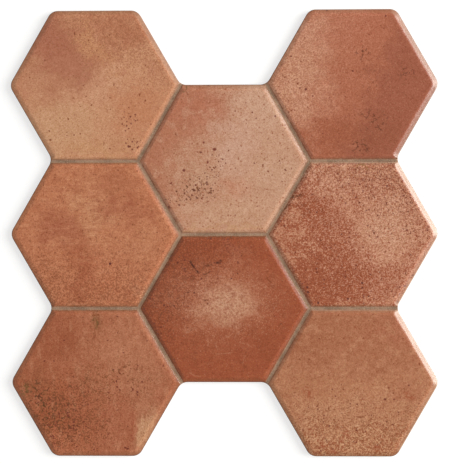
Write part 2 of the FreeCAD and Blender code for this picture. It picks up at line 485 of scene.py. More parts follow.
def plate_mesh():
    """The whole plate as one closed mesh: face, side, bed bevel and pocketed back."""
    loop, rest = face_points()
    count = len(loop)
    points, triangles, origins = triangulate(np.vstack([loop, rest]), count)
    place = {s: k for k, sources in enumerate(origins) for s in sources}
    edge = [place[k] for k in range(count)]
    heights, edge_mm, joint_mm = face_heights(points)
    verts = [(x, y, z) for (x, y), z in zip(points, heights)]
    faces = [tuple(t) for t in triangles]
    top_count = len(faces)
    loops = [edge]
    for inset, z in SIDE_LOOPS:
        start = len(verts)
        verts += [(x, y, min(z, verts[e][2])) for (x, y), e in zip(ring(inset), edge)]
        loops.append(list(range(start, start + count)))
    for upper, lower in zip(loops, loops[1:]):
        for k in range(count):
            m = (k + 1) % count
            faces.append((upper[k], lower[k], lower[m], upper[m]))
    side_count = len(faces) - top_count
    bed = [np.array(verts[v][:2]) for v in loops[-1]]
    squares = pocket_corners()
    for x, y in squares:
        bed += [(x, y), (x + POCKET_SIDE, y), (x + POCKET_SIDE, y + POCKET_SIDE), (x, y + POCKET_SIDE)]
    points, triangles, origins = triangulate(bed, count, len(squares))
    verts += [(x, y, 0.0) for x, y in bed[count:]]
    for triangle in triangles:
        mid = np.mean([points[v] for v in triangle], axis=0)
        if not any(x < mid[0] < x + POCKET_SIDE and y < mid[1] < y + POCKET_SIDE for x, y in squares):
            faces.append(tuple(start + origins[v][-1] for v in reversed(triangle)))
    for s, (x, y) in enumerate(squares):
        rim = [start + count + 4 * s + k for k in range(4)]
        top = len(verts)
        a, b = POCKET_LEAN, POCKET_SIDE - POCKET_LEAN
        verts += [(x + u, y + v, POCKET_DEPTH) for u, v in ((a, a), (b, a), (b, b), (a, b))]
        for k in range(4):
            m = (k + 1) % 4
            faces.append((rim[m], rim[k], top + k, top + m))
        faces.append((top, top + 3, top + 2, top + 1))
    obj = make_object("terracotta_plate", verts, faces)
    return obj, edge_mm, joint_mm, top_count, side_count


def grout_mesh():
    """The grout's upper surface, run into the shoulders on both sides, and its ends in the notches."""
    rows = joint_rows(GROUT_OFFSETS, GROUT_STEP)
    loop = ring(0.0)
    in_joint = joint_distance(loop) < GROUT_REACH
    meeting = mitre_points()
    meeting = meeting[joint_distance(meeting) < GROUT_REACH + 0.1]
    meeting = meeting[outline_distance(meeting) > OUTLINE_ZONE]
    nodes = np.array([p for a, b, open_a, open_b in JOINTS for p, o in ((a, open_a), (b, open_b)) if not o])
    nodes = np.unique(np.round(nodes, 4), axis=0)
    points = np.vstack([loop[in_joint], ring(GROUT_END)[in_joint], rows, meeting, nodes])
    result = delaunay_2d_cdt([Vector(p) for p in points], [], [], 0, 1e-6)
    points = np.array([tuple(v) for v in result[0]])
    triangles = np.array(result[2])
    tips = points[triangles]
    middles = tips.mean(axis=1)
    keep = (joint_distance(middles) < GROUT_REACH + 0.01) & is_inside(middles)
    spans = np.max([np.linalg.norm(tips[:, i] - tips[:, i - 1], axis=1) for i in range(3)], axis=0)
    used, index = np.unique(triangles[keep & (spans < LONGEST_SPAN)], return_inverse=True)
    verts = list(zip(*points[used].T, grout_heights(points)[used]))
    faces = [tuple(t) for t in index.reshape(-1, 3).tolist()]
    close = joint_distance(loop) <= JOINT_HALF + 0.01
    for k in range(len(loop)):
        m = (k + 1) % len(loop)
        if close[k] and close[m]:
            a, b = loop[k], loop[m]
            za, zb = grout_heights(np.array([a, b]))
            first = len(verts)
            verts += [(*a, za), (*a, FLOOR_Z), (*b, FLOOR_Z), (*b, zb)]
            faces.append((first, first + 1, first + 2, first + 3))
    return make_object("grout_net", verts, faces)


def grout_heights(points):
    """Height of the grout: a shallow hollow with a rough top, dipping under the shoulders beside it."""
    d = joint_distance(points)
    edge = JOINT_RIM_Z + 0.02 + waves(points, GROUT_WAVES)
    hollow = GROUT_HOLLOW * np.clip(1 - (d / JOINT_HALF) ** 2, 0, 1)
    height = edge - hollow + GROUT_GRAIN * bumps(points, 1.1, 13, 3)
    cap = rim_height(np.clip(outline_distance(points), 0, None)) - 0.06
    return np.clip(np.minimum(height, cap), FLOOR_Z + 0.2, None)


# Colouring


def srgb(r, g, b):
    """A colour written as 0 to 255 values, in the linear values that a shader takes."""
    channels = [c / 255 for c in (r, g, b)]
    return tuple(c / 12.92 if c <= 0.04045 else ((c + 0.055) / 1.055) ** 2.4 for c in channels) + (1.0,)


def glazed(r, g, b):
    """The colour under the glaze that looks like this one with the glaze's own sheen on it."""
    return tuple(max(c - SHEEN, 0.004) for c in srgb(r, g, b)[:3]) + (1.0,)


class Shader:
    """A material whose nodes are added one by one. Values are sockets or plain numbers."""

    def __init__(self, name):
        self.material = bpy.data.materials.new(name)
        self.material.use_nodes = True
        self.tree = self.material.node_tree
        self.tree.nodes.clear()
        self.bsdf = self.node("BsdfPrincipled")
        self.node("OutputMaterial", (self.bsdf.outputs[0],))
        self.mm = self.vector("MULTIPLY", self.node("TexCoord").outputs["Object"], (1000.0, 1000.0, 1000.0))

    def put(self, socket, value):
        if isinstance(value, bpy.types.NodeSocket):
            self.tree.links.new(value, socket)
        else:
            socket.default_value = value

    def node(self, kind, inputs=(), **settings):
        """A new node, with its inputs in order, or by name or number in a dictionary."""
        node = self.tree.nodes.new("ShaderNode" + kind)
        for name, value in settings.items():
            setattr(node, name, value)
        for key, value in inputs.items() if isinstance(inputs, dict) else enumerate(inputs):
            self.put(node.inputs[key], value)
        return node

    def surface(self, inputs):
        """Fills in the inputs of the shader itself, and gives the material."""
        for name, value in inputs.items():
            self.put(self.bsdf.inputs[name], value)
        return self.material

    def math(self, operation, a, b=0.0, c=0.0):
        return self.node("Math", (a, b, c), operation=operation).outputs[0]

    def times(self, a, b):
        return self.math("MULTIPLY", a, b)

    def fit(self, a, b, c):
        """a times b, plus c."""
        return self.math("MULTIPLY_ADD", a, b, c)

    def vector(self, operation, a, b=(0, 0, 0), value=False):
        node = self.node("VectorMath", (a, b), operation=operation)
        return node.outputs["Value" if value else "Vector"]

    def scaled(self, vector, factor):
        """A vector or colour times a factor, which may be a socket."""
        return self.node("VectorMath", {0: vector, "Scale": factor}, operation="SCALE").outputs[0]

    def noise(self, vector, size, detail=2.0, rough=0.5, colour=False):
        """Noise with bumps about size across, in the units of vector."""
        inputs = {"Vector": vector, "Scale": 1.0 / size, "Detail": detail, "Roughness": rough}
        return self.node("TexNoise", inputs).outputs["Color" if colour else "Fac"]

    def cells(self, vector, size):
        """(distance to the cell's point, two random values of the cell), cells about size across."""
        node = self.node("TexVoronoi", {"Vector": vector, "Scale": 1.0 / size})
        parts = self.node("SeparateColor", (node.outputs["Color"],))
        return node.outputs["Distance"], parts.outputs[0], parts.outputs[1]

    def ramp(self, value, low, high, to_low=0.0, to_high=1.0):
        inputs = (value, low, high, to_low, to_high)
        return self.node("MapRange", inputs, interpolation_type="SMOOTHSTEP").outputs[0]

    def mix(self, factor, a, b):
        return self.node("Mix", {0: factor, 6: a, 7: b}, data_type="RGBA").outputs[2]

    def grain(self, colour, level, amount):
        """The colour with noise on it. Dark grains lose most in blue and least in red."""
        push = self.times(self.math("SUBTRACT", level, 0.5), amount)
        factor = self.node("CombineXYZ", [self.fit(push, share, 1.0) for share in (0.55, 0.95, 1.25)])
        return self.vector("MULTIPLY", colour, self.vector("MAXIMUM", factor.outputs[0], (0.1, 0.1, 0.1)))

    def attribute(self, name):
        return self.node("Attribute", attribute_name=name).outputs["Fac"]

    def bump(self, height, distance):
        """The normal over these heights, which count as distance in millimetres."""
        inputs = {"Strength": 1.0, "Distance": distance * MM, "Height": height}
        return self.node("Bump", inputs).outputs[0]


class Field(Shader):
    """The glazed face of one field. Places are millimetres from the field's middle. A place that marks
    are kept to is a mask, the numbers of a spot, or the three numbers of a slope."""

    def __init__(self, name, base):
        super().__init__("field_" + name)
        x, y = CENTRES[FIELD_NAMES.index(name)]
        self.at = self.moved(self.mm, -x, -y, 0.0)
        self.grainy = self.moved(self.at, x * 3.1 + 40.0, y * 1.7 - 25.0, 12.0)
        self.push = self.shake(17.0, 3.0)
        self.pushed = {}
        self.frayed = self.vector("ADD", self.at, self.scaled(self.shake(1.7, 2.0), 1.5))
        self.colour = glazed(*base)
        self.marks = 0.0

    def moved(self, place, x, y, z):
        return self.vector("ADD", place, (x, y, z))

    def shake(self, size, detail):
        """Random vectors about zero, alike over about size."""
        return self.vector("SUBTRACT", self.noise(self.grainy, size, detail, 0.6, True), (0.5, 0.5, 0.5))

    def loose(self, share=1.0):
        """The place, pushed about so that what is painted there gets a cloudy outline."""
        if share not in self.pushed:
            self.pushed[share] = self.vector("ADD", self.at, self.scaled(self.push, 55.0 * share))
        return self.pushed[share]

    def turned(self, place, x, y, turn):
        """The place as seen from (x, y), on axes turned by this many degrees."""
        inputs = {"Vector": self.moved(place, -x, -y, 0.0), "Angle": -math.radians(turn)}
        return self.node("VectorRotate", inputs, rotation_type="Z_AXIS").outputs[0]

    def spot(self, x, y, rx, ry, turn=0.0, soft=0.8, loose=1.0):
        """1 in the middle of an ellipse, falling to 0 at its edge."""
        place = self.turned(self.loose(loose) if loose else self.frayed, x, y, turn)
        squashed = self.vector("MULTIPLY", place, (1 / rx, 1 / ry, 0.0))
        return self.ramp(self.vector("LENGTH", squashed, value=True), 1.0 + soft, 1.0 - soft)

    def slope(self, turn, start, end):
        """0 on one side and 1 on the other, across the field in the direction turn."""
        way = (math.cos(math.radians(turn)), math.sin(math.radians(turn)), 0.0)
        return self.ramp(self.vector("DOT_PRODUCT", self.loose(), way, value=True), start, end)

    def mask(self, where):
        if not isinstance(where, tuple):
            return where
        return self.slope(*where) if len(where) == 3 else self.spot(*where)

    def tone(self, mask, colour, strength):
        self.colour = self.mix(self.times(mask, strength), self.colour, glazed(*colour))

    def patch(self, colour, strength, *where):
        self.tone(self.mask(where), colour, strength)

    def mottle(self, size, low, high, colour, strength, where=1.0, seed=0.0, detail=4.0, stretch=(1, 1, 1)):
        """Cloudy patches of a colour where the noise is over a level."""
        place = self.vector("MULTIPLY", self.moved(self.grainy, seed, seed * 0.7, seed), stretch)
        cloud = self.ramp(self.noise(place, size, detail, 0.6), low, high)
        self.tone(self.times(cloud, self.mask(where)), colour, strength)

    def flecks(self, size, level, colour, strength, lean=0.0, seed=0.0):
        """Ragged flecks where fine noise is over a level. They are denser where lean is."""
        place = self.moved(self.grainy, seed * 1.3, -seed, seed)
        value = self.fit(self.mask(lean), 0.14, self.noise(place, size, 2.0, 0.65))
        self.tone(self.ramp(value, level, level + 0.07), colour, strength)

    def squiggles(self, size, width, colour, strength, where=1.0, seed=0.0):
        """Thin curling marks along the level lines of noise. width is in the noise's own values."""
        place = self.moved(self.grainy, seed * 2.3, -seed, seed)
        off = self.math("ABSOLUTE", self.math("SUBTRACT", self.noise(place, size, 1.5), 0.5))
        gate = self.noise(self.moved(place, 31.0, -17.0, 5.0), 0.8 * size, 1.0)
        line = self.times(self.ramp(off, width, 0.45 * width), self.ramp(gate, 0.49, 0.55))
        self.tone(self.times(line, self.mask(where)), colour, strength)

    def specks(self, size, radius, share, colour, strength, where=1.0, seed=0.0, dent=True):
        """Small spots: one in each cell whose random value is under share times the mask."""
        flat = self.vector("MULTIPLY", self.moved(self.frayed, seed, -seed, 0.0), (1.0, 1.0, 0.0))
        distance, pick, swell = self.cells(flat, size)
        reach = self.fit(swell, 0.6 * radius / size, 0.5 * radius / size)
        inside = self.ramp(distance, self.times(reach, 1.25), self.times(reach, 0.6))
        chosen = self.math("LESS_THAN", pick, self.times(self.mask(where), share))
        self.mark(self.times(inside, chosen), colour, strength, dent)

    def mark(self, mask, colour, strength, dent=True):
        self.tone(mask, colour, strength)
        if dent:
            self.marks = self.math("MAXIMUM", self.marks, self.times(mask, strength))

    def dots(self, colour, strength, *places):
        """Single spots, each (x, y, radius)."""
        for x, y, radius in places:
            self.mark(self.spot(x, y, 0.74 * radius, 0.58 * radius, 40 * x, 0.35, 0), colour, strength)

    def stroke(self, x, y, length, width, turn, colour, strength, bend=0.0):
        """A short hairline about (x, y). bend is how far its ends curve off, as a share of its length."""
        parts = self.node("SeparateXYZ", (self.turned(self.frayed, x, y, turn),))
        u, v = parts.outputs[0], parts.outputs[1]
        curved = self.fit(self.times(u, u), -4 * bend / length, v)
        thin = self.ramp(self.math("ABSOLUTE", curved), width, 0.35 * width)
        short = self.ramp(self.math("ABSOLUTE", u), 0.55 * length, 0.35 * length)
        patchy = self.ramp(self.noise(self.grainy, 2.2), 0.3, 0.55)
        self.tone(self.times(self.times(thin, short), patchy), colour, strength)

    def finish(self, grain, painted_highlight=0.0):
        """The grain, a painted highlight along the crest, an olive-brown tone and slight painted shade low
        on the shoulders, a painted shadow line beside the joints, a darker rim, painted shade on the
        shoulders that face left, and the satin glaze over all of it. painted_highlight is how strongly the
        shoulders on the right at the back, which face the lamp, get a paler painted highlight."""
        fine = self.noise(self.grainy, 1.25, 2.0, 0.7)
        mid = self.noise(self.grainy, 2.9, 3.0, 0.6)
        wide = self.noise(self.grainy, 7.0, 4.0, 0.6)
        patch = self.noise(self.grainy, 26.0, 3.0, 0.6)
        swell = self.noise(self.grainy, 8.0, 0.0)
        for level, amount in ((fine, 1.25 * grain), (mid, 0.42 * grain), (wide, 0.33), (patch, 0.24)):
            self.colour = self.grain(self.colour, level, amount)
        self.tone(self.ramp(fine, 0.37, 0.25), (118, 62, 32), 0.3 * grain)
        edge = self.attribute("edge_mm")
        joint = self.attribute("joint_mm")
        fray = self.fit(mid, 4.0, -2.0)
        frayed_edge = self.math("ADD", edge, fray)
        # Painted highlight along the crest of each shoulder, where its slope eases into the flat face
        crest_highlight = self.times(self.ramp(frayed_edge, 3.6, 5.2), self.ramp(frayed_edge, 7.4, 5.8))
        low = self.ramp(frayed_edge, 5.0, 1.0)
        rim = self.ramp(edge, 0.9, 0.3)
        # An olive-brown tone over the low part of every shoulder, beside the joints and the outline
        self.tone(low, (134, 98, 65), 0.24)
        # Painted shadow: a dark brown line on the fields close beside each joint
        self.tone(self.ramp(self.fit(fray, 0.4, joint), 3.0, 2.0), (96, 66, 44), 0.38)
        # Darker brown at the outermost rim: painted shade for the dark outline, on a duller, rougher edge
        self.tone(rim, (92, 62, 46), 0.7)
        normal = self.node("NewGeometry").outputs["Normal"]
        leftward = self.vector("DOT_PRODUCT", normal, (-1.0, 0.0, 0.0), value=True)
        # Painted shade: the shoulders that face left, near the joints, are darkened by up to 15 percent
        left = self.times(self.ramp(leftward, 0.02, 0.14), self.ramp(joint, 9.0, 6.0))
        if painted_highlight:
            # Painted highlight: a pale cream tone on the shoulders that face the lamp on the right, fading
            # in from the edge
            away = (math.cos(math.radians(30)), math.sin(math.radians(30)), 0.0)
            facing = self.ramp(self.vector("DOT_PRODUCT", normal, away, value=True), 0.09, 0.22)
            self.tone(self.times(facing, self.ramp(edge, 5.0, 3.4)), (226, 192, 166), painted_highlight)
        # Painted light and shade in the base colour: lighter along the crest, slightly darker low on the
        # shoulders
        painted_light_and_shade = self.fit(crest_highlight, 0.08, self.fit(low, -0.03, 1.0))
        rough = self.fit(mid, 0.06, 0.17)
        for mask, more in ((self.ramp(edge, 7.0, 4.5), 0.05), (rim, 0.1), (self.marks, 0.08)):
            rough = self.fit(mask, more, rough)
        height = self.times(mid, 0.3)
        for level, share in ((fine, 0.05), (wide, 0.9), (self.marks, -0.5)):
            height = self.fit(level, share, height)
        height = self.times(height, self.ramp(edge, 5.0, 9.0, 0.04, 1.0))
        return self.surface({
            "Base Color": self.scaled(self.colour, self.fit(left, -0.15, painted_light_and_shade)),
            "Roughness": rough,
            "IOR": 1.7,
            "Normal": self.bump(self.fit(swell, 0.5, height), 0.09),
        })


def each(draw, *rows):
    """Calls draw with each row of values in turn."""
    for row in rows:
        draw(*row)


DARK = (110, 50, 20)
UMBER = (128, 66, 32)
OLIVE = (104, 80, 46)


def field_materials():
    """One material for each field, in the order of FIELD_NAMES."""
    made = {}

    f = Field("L1", (195, 138, 104))
    each(
        f.patch, ((174, 112, 86), 0.9, -36, 28, 34, 34), ((172, 107, 84), 0.75, -50, 52, 20, 22),
        ((176, 116, 90), 0.6, -12, 8, 24, 12, -30), ((182, 119, 91), 0.6, -31, -12, 14, 10),
        ((201, 153, 117), 0.85, -30, -42, 40, 28), ((183, 119, 88), 0.7, 28, 58, 34, 14),
        ((198, 140, 101), 0.75, -4, 40, 24, 8, -50), ((206, 155, 121), 0.75, 16, 0, 34, 13, 24),
        ((202, 148, 113), 0.5, 40, 26, 20, 8, 40), ((191, 128, 93), 0.65, 46, -22, 22, 26),
        ((197, 146, 106), 0.5, -2, -64, 34, 8), ((200, 147, 112), 0.4, -60, 8, 10, 16),
        ((196, 137, 103), 0.45, -14, 58, 16, 10),
    )
    each(
        f.mottle, (12, 0.52, 0.66, (178, 114, 88), 0.4, (100, -40, 40)),
        (5, 0.54, 0.68, (166, 101, 74), 0.4, (30, 50, 40, 22), 5),
    )
    each(
        f.flecks, (1.5, 0.61, (150, 92, 64), 0.45, (70, -10, 60), 1),
        (1.2, 0.63, (160, 102, 72), 0.35, 0, 2),
    )
    each(
        f.specks, (2.2, 0.95, 0.3, DARK, 0.9, (35, -34, 9, 13, 0, 0.6, 0.4), 1),
        (2.2, 0.95, 0.3, DARK, 0.9, (38, -60, 10, 8, 0, 0.6, 0.4), 2),
        (6, 1, 0.15, UMBER, 0.9, 1, 3), (3.4, 0.8, 0.11, UMBER, 0.7, 1, 8),
        (3, 0.8, 0.2, (138, 84, 56), 0.7, (20, 44, 50, 24), 5),
    )
    f.dots(
        UMBER, 0.9, (-46, -46, 1.3), (-21, -50, 1.2), (-45, -55, 1.5), (-20, 52, 1.7), (-6, 45, 1.2),
        (-3, -20, 1.2),
    )
    f.dots(
        DARK, 0.95, (34, -62, 1.7), (36, -32, 1.4), (41, -36, 1.2), (43, -63, 1.4), (38, -57, 1.2),
        (31, -46, 1.1),
    )
    made["L1"] = f.finish(1.05, 0.14)

    f = Field("L2", (189, 121, 87))
    each(
        f.patch, ((199, 141, 104), 0.8, -4, 18, 22, 28), ((166, 96, 70), 0.85, -39, 6, 19, 14),
        ((166, 94, 66), 0.85, -14, -34, 11, 36), ((166, 96, 69), 0.8, 34, 26, 24, 12),
        ((200, 142, 108), 0.7, 48, -58, 10, 12), ((170, 104, 74), 0.6, 26, 52, 22, 12),
        ((188, 124, 90), 0.6, 26, -22, 28, 14), ((190, 117, 84), 0.5, 6, -48, 20, 24),
        ((188, 128, 94), 0.5, 46, -6, 14, 16),
    )
    each(
        f.mottle, (9, 0.5, 0.64, (196, 132, 97), 0.5, 1, 3, 4, (0.45, 1.6, 1)),
        (4, 0.5, 0.62, (160, 92, 66), 0.35, (0, 24, 50, 34), 21, 3, (0.2, 2, 1)),
        (8, 0.51, 0.66, (158, 90, 62), 0.4, 1, 9, 4, (0.7, 1.2, 1)),
        (6, 0.52, 0.67, (156, 90, 62), 0.36, (-90, -10, 50), 14, 4, (1.9, 0.5, 1)),
    )
    each(
        f.flecks, (1.6, 0.6, (136, 78, 52), 0.6, (-90, 0, 60), 1),
        (1.2, 0.6, (204, 142, 106), 0.3, 0, 4),
    )
    each(
        f.specks, (8, 0.9, 0.12, UMBER, 0.7, 1, 1),
        (2.8, 0.8, 0.26, (128, 72, 46), 0.75, 1, 2, False),
    )
    f.dots((96, 44, 24), 1, (15, -30, 1.9))
    made["L2"] = f.finish(1.35)

    f = Field("L3", (170, 103, 74))
    each(
        f.patch, ((183, 120, 89), 0.9, 24, 32, 42, 34), ((171, 97, 66), 0.8, -44, -28, 28, 30),
        ((156, 88, 60), 0.8, -38, 44, 28, 20), ((198, 148, 112), 0.9, 50, -47, 9, 24, -20, 0.5, 0.35),
        ((160, 86, 60), 0.85, 38, -46, 3.2, 19, 0, 0.7, 0.2), ((172, 100, 70), 0.55, -4, -46, 16, 24),
        ((176, 108, 80), 0.5, 18, -40, 10, 22), ((180, 120, 90), 0.6, 48, -8, 18, 24),
        ((150, 88, 59), 0.6, -58, 0, 14, 16), ((165, 98, 68), 0.45, 0, 10, 16, 28),
        ((184, 110, 78), 0.75, -38, -60, 24, 12),
    )
    each(
        f.mottle, (8, 0.51, 0.65, (154, 90, 63), 0.5, 1, 2, 5, (1.6, 0.5, 1)),
        (9, 0.52, 0.67, (190, 128, 96), 0.5, 1, 7, 5, (1.5, 0.5, 1)),
        (2.4, 0.46, 0.56, OLIVE, 0.75, (-70, -8, 7, 7, -30, 0.6, 0), 4),
        (3, 0.5, 0.6, (132, 86, 52), 0.45, (-52, -28, 20, 14, -50, 0.7), 8),
    )
    each(
        f.squiggles, (6.5, 0.042, (88, 62, 34), 0.95, (-54, -22, 26, 18, -45, 0.6, 0.5), 3),
        (5, 0.042, (92, 62, 34), 0.9, (-40, -40, 26, 19, -40, 0.6, 0.5), 6),
        (5, 0.036, (108, 66, 38), 0.8, (-22, -50, 34, 18, 0, 0.7, 0.5), 9),
        (4, 0.045, (116, 70, 42), 0.8, (24, 2, 34, 22), 12),
        (4, 0.045, (110, 68, 42), 0.8, (-16, -8, 26, 14), 18),
        (6, 0.04, (112, 76, 46), 0.8, (1, 62, 6, 12, 0, 0.6, 0), 15),
    )
    f.patch((126, 84, 52), 0.5, 1, 62, 4, 9, 10, 0.8, 0)
    each(
        f.flecks, (1.5, 0.62, (108, 64, 38), 0.6, (-34, -38, 46, 34), 1),
        (1.2, 0.61, (134, 80, 54), 0.45, 0, 2),
    )
    each(
        f.specks, (2.8, 1, 0.4, DARK, 0.8, (30, -2, 18, 16, 0, 0.6), 1),
        (3, 1.1, 0.4, DARK, 0.85, (-40, -40, 34, 24, -40, 0.6), 5),
        (5, 1, 0.28, DARK, 0.8, 1, 3),
    )
    each(
        f.stroke, (0, 68, 8, 1.2, 5, UMBER, 0.8), (2, 58, 9, 1.3, 80, OLIVE, 0.7, 0.2),
        (-1, 46, 12, 1, 60, UMBER, 0.6, 0.3), (31, -67, 6, 1.3, -20, DARK, 0.95),
    )
    f.dots(
        DARK, 0.9, (21, 1, 1.4), (42, -10, 1.6), (18, 13, 1.2), (28, 30, 1.2), (1, -18, 1.1),
        (-46, -55, 1.4),
    )
    made["L3"] = f.finish(1.4)

    f = Field("M1", (192, 143, 115))
    each(
        f.patch, ((181, 119, 91), 0.85, 180, 14, 64), ((181, 112, 86), 0.8, -24, 52, 38, 24),
        ((203, 161, 134), 0.85, 38, 50, 34, 30), ((203, 161, 137), 0.75, 8, 10, 16, 24),
        ((194, 149, 120), 0.7, -34, -14, 22, 14), ((192, 140, 112), 0.6, -48, -40, 16, 14),
        ((200, 155, 125), 0.75, 8, -56, 44, 14), ((194, 150, 108), 0.4, 4, -72, 50, 3),
        ((193, 134, 106), 0.6, 12, -30, 16, 12), ((200, 158, 130), 0.6, 50, -14, 26, 30),
    )
    each(
        f.mottle, (12, 0.5, 0.66, (204, 158, 130), 0.45, 1, 2),
        (7, 0.53, 0.68, (180, 116, 90), 0.4, (150, -40, 40), 6),
    )
    each(
        f.flecks, (1.4, 0.61, (164, 102, 74), 0.4, (150, -20, 60), 1),
        (1.2, 0.63, (160, 102, 76), 0.35, 0, 3),
    )
    each(
        f.specks, (2, 0.95, 0.5, (102, 52, 26), 0.9, (-22, -27, 14, 13, 20, 0.5, 0.4), 1),
        (2, 0.9, 0.36, (106, 56, 30), 0.9, (-40, -35, 15, 13, 10, 0.6, 0.4), 2),
        (2.2, 0.9, 0.3, (106, 54, 30), 0.9, (-8, 0, 10, 13, -30, 0.5, 0.4), 3),
        (2.4, 1, 0.3, UMBER, 0.9, (60, -10, 8, 10, 0, 0.5, 0.4), 4),
        (5.5, 1, 0.16, UMBER, 0.85, 1, 5), (2.6, 0.9, 0.24, (150, 88, 60), 0.7, 1, 6, False),
    )
    f.squiggles(4, 0.04, (118, 74, 44), 0.75, (-28, -30, 22, 15, 10, 0.6, 0.5), 5)
    each(
        f.stroke, (-38, 70, 8, 1.4, 60, OLIVE, 0.7, 0.2), (-36, 66, 6, 1.2, 100, UMBER, 0.6, 0.2),
        (-71, 24, 5, 1.8, 55, (76, 56, 40), 0.95),
    )
    f.dots(
        (118, 52, 28), 0.9, (-55, -48, 1.9), (-53, -24, 1.7), (-9, 10, 2.6), (-20, 17, 1.7), (-23, 7, 1.7),
        (-16, -3, 1.8),
    )
    f.dots(
        DARK, 0.9, (-40, -11, 2), (52, 43, 1.5), (29, 47, 1.3), (31, -4, 1.2), (33, 41, 1.1),
        (62, -11, 1.4), (5, 9, 1.1),
    )
    f.dots(
        DARK, 0.9, (-1, 0, 1.4), (-8, -8, 1.2), (2, -4, 1.1), (-14, -8, 1.2), (-45, -46, 1.5),
        (-32, -36, 1.5), (-28, -26, 1.5),
    )
    made["M1"] = f.finish(1.1)

    f = Field("M2", (157, 84, 56))
    each(
        f.patch, ((172, 105, 77), 0.7, -4, 9, 44, 30, 0, 0.9, 0.6),
        ((184, 126, 97), 0.85, -3, 6, 34, 19, 0, 0.8, 0.5), ((184, 124, 97), 0.5, -24, 16, 14, 8),
        ((200, 152, 121), 0.85, 2, 4, 23, 14, 0, 0.8, 0.45), ((178, 112, 84), 0.55, 4, 35, 18, 12, 60),
        ((172, 106, 82), 0.35, 8, 60, 8, 10), ((164, 94, 68), 0.4, 36, 30, 16, 12),
        ((175, 105, 76), 0.65, -42, 22, 24, 18), ((160, 90, 63), 0.5, 2, -36, 34, 12),
        ((146, 77, 51), 0.5, 42, -38, 16, 14),
    )
    each(
        f.mottle, (5, 0.48, 0.62, (196, 142, 113), 0.45, (0, 6, 42, 28), 4, 6),
        (9, 0.53, 0.68, (142, 76, 51), 0.5, 1, 2),
        (7, 0.53, 0.68, (168, 98, 70), 0.3, 1, 12, 5),
        (3, 0.5, 0.61, (106, 64, 42), 0.42, (-44, 40, 26, 16, -30, 0.7), 3),
        (3.4, 0.52, 0.63, (116, 66, 43), 0.55, (-60, -4, 18, 24, 0, 0.7), 8),
    )
    each(
        f.flecks, (1.6, 0.585, (112, 58, 35), 0.5, (140, -10, 60), 2),
        (1.3, 0.62, (196, 140, 112), 0.45, (0, 4, 46, 30, 0, 0.8, 0.5), 5),
    )
    f.mottle(2.2, 0.5, 0.6, (150, 82, 56), 0.45, (-6, 0, 52, 34, 0, 0.8, 0.5), 16, 3)
    f.specks(3.4, 1, 0.3, (98, 48, 26), 0.85, (140, -10, 56), 3)
    f.squiggles(5, 0.035, (108, 64, 42), 0.5, (-58, 4, 12, 34, 0, 0.7, 0.5), 4)
    f.specks(7, 0.7, 0.12, (98, 56, 36), 0.7, 1, 6)
    each(
        f.stroke, (-30, 41, 17, 1.3, -54, (84, 50, 36), 0.95, 0.03),
        (-33, 45, 7, 1.2, -60, (84, 50, 36), 0.8, 0.05), (-5, 46, 7, 1.8, 20, (84, 48, 34), 0.9, 0.2),
        (-15, 43, 7, 1.3, 10, (96, 56, 38), 0.8, 0.1), (-17, 35, 9, 0.9, 25, (96, 56, 38), 0.7, 0.1),
        (-19, 8, 6, 1.1, -5, (112, 70, 50), 0.8, 0), (45, 28, 8, 1, -45, UMBER, 0.8, 0.1),
        (-64, -15, 9, 1.2, -40, UMBER, 0.8, 0.1), (-64, 11, 8, 1.2, 5, UMBER, 0.7, 0.1),
    )
    for x, y, length, turn, bend in (
        (-16, -34, 12, 90, 0.1), (-8, -38, 10, 100, -0.1), (6, -28, 10, 35, 0.2), (12, -26, 8, 60, -0.2),
        (22, -36, 14, 160, 0.1), (-34, -24, 10, 20, 0.1), (0, -46, 18, 5, 0.05), (11, 50, 9, 85, 0.1),
        (6, 46, 6, 100, 0.1), (34, -10, 9, 70, 0.1), (-30, -68, 14, -20, 0.1), (20, -52, 10, 80, 0.1),
    ):
        f.stroke(x, y, length, 0.8, turn, (184, 124, 96), 0.5, bend)
    made["M2"] = f.finish(1.2)

    f = Field("R1", (175, 107, 81))
    each(
        f.patch, ((206, 153, 123), 0.95, -60, 6, 28, 42), ((208, 152, 124), 0.85, -46, 56, 24, 18),
        ((156, 92, 70), 0.95, -22, -4, 36), ((176, 106, 82), 0.5, 4, 56, 26, 14),
        ((150, 87, 64), 0.7, 20, -50, 34, 18), ((162, 93, 67), 0.75, -24, -52, 22, 14),
        ((191, 130, 103), 0.6, -28, -14, 15, 20, 0, 0.4, 0.5),
    )
    each(
        f.mottle, (10, 0.5, 0.65, (192, 126, 99), 0.45, (170, -30, 30), 2),
        (8, 0.51, 0.66, (168, 98, 73), 0.4, (160, -60, 30), 5),
    )
    each(
        f.flecks, (1.5, 0.61, (146, 86, 62), 0.45, (180, -30, 40), 1),
        (1.2, 0.62, (204, 148, 120), 0.3, (150, -20, 40), 4),
    )
    each(
        f.specks, (3.2, 1, 0.3, UMBER, 0.85, (-58, -6, 22, 24), 1),
        (3.6, 0.9, 0.16, UMBER, 0.6, 1, 9), (6, 1, 0.18, UMBER, 0.8, (180, -50, 20), 2),
    )
    mark = (106, 62, 44)
    for x, y, length, width, turn, bend in (
        (10, 29, 12, 1.1, 80, 0.15), (12, 33, 7, 1.1, 25, 0.3), (54, 11, 7, 1, 30, 0.3),
        (22, -37, 14, 0.9, 25, 0.15), (16, -30, 10, 0.9, 75, 0.1), (26, -44, 8, 0.9, 150, 0.3),
        (4, -64, 12, 1, 60, 0.3), (11, -61, 11, 1, 150, 0.3),
    ):
        f.stroke(x, y, length, width, turn, mark, 0.65, bend)
    for x, y, rx, ry, seed in (
        (11, 30, 8, 10, 3), (55, 11, 8, 6, 7), (20, -38, 16, 12, 11), (8, -63, 12, 9, 19),
    ):
        f.squiggles(6, 0.035, mark, 0.8, (x, y, rx, ry, 0, 0.5, 0), seed)
    f.squiggles(4.5, 0.035, (128, 76, 56), 0.6, (26, 10, 26, 16), 23)
